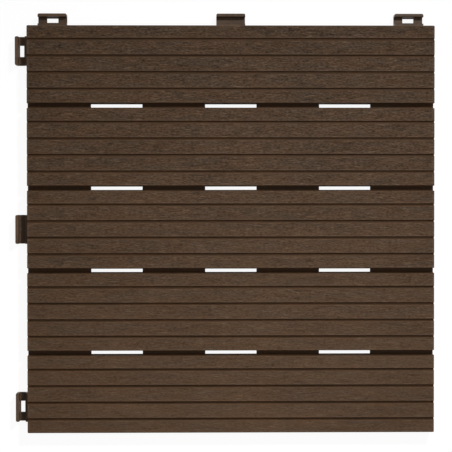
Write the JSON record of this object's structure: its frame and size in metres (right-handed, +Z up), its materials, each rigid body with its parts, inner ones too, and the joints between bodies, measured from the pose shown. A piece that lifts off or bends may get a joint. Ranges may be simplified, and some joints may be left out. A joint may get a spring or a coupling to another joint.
{
  "type": "interlocking deck tile",
  "caption": "Square wood-look plastic deck tile of grooved planks with drain slots, hooks on two sides that lock into sockets of the next tiles, and a ribbed underside on feet.",
  "frame": {"origin": "middle of the square tile, on the ground under its feet", "axes": "+X along the planks towards a socket side, +Y across the planks towards a hook side, +Z up out of the deck"},
  "size_m": [0.407, 0.407, 0.025],
  "materials": {
    "deck_tile": "matte brown plastic with an embossed wood grain"
  },
  "bodies": {
    "root": {"deck_tile": "deck_tile"}
  },
  "joints": []
}
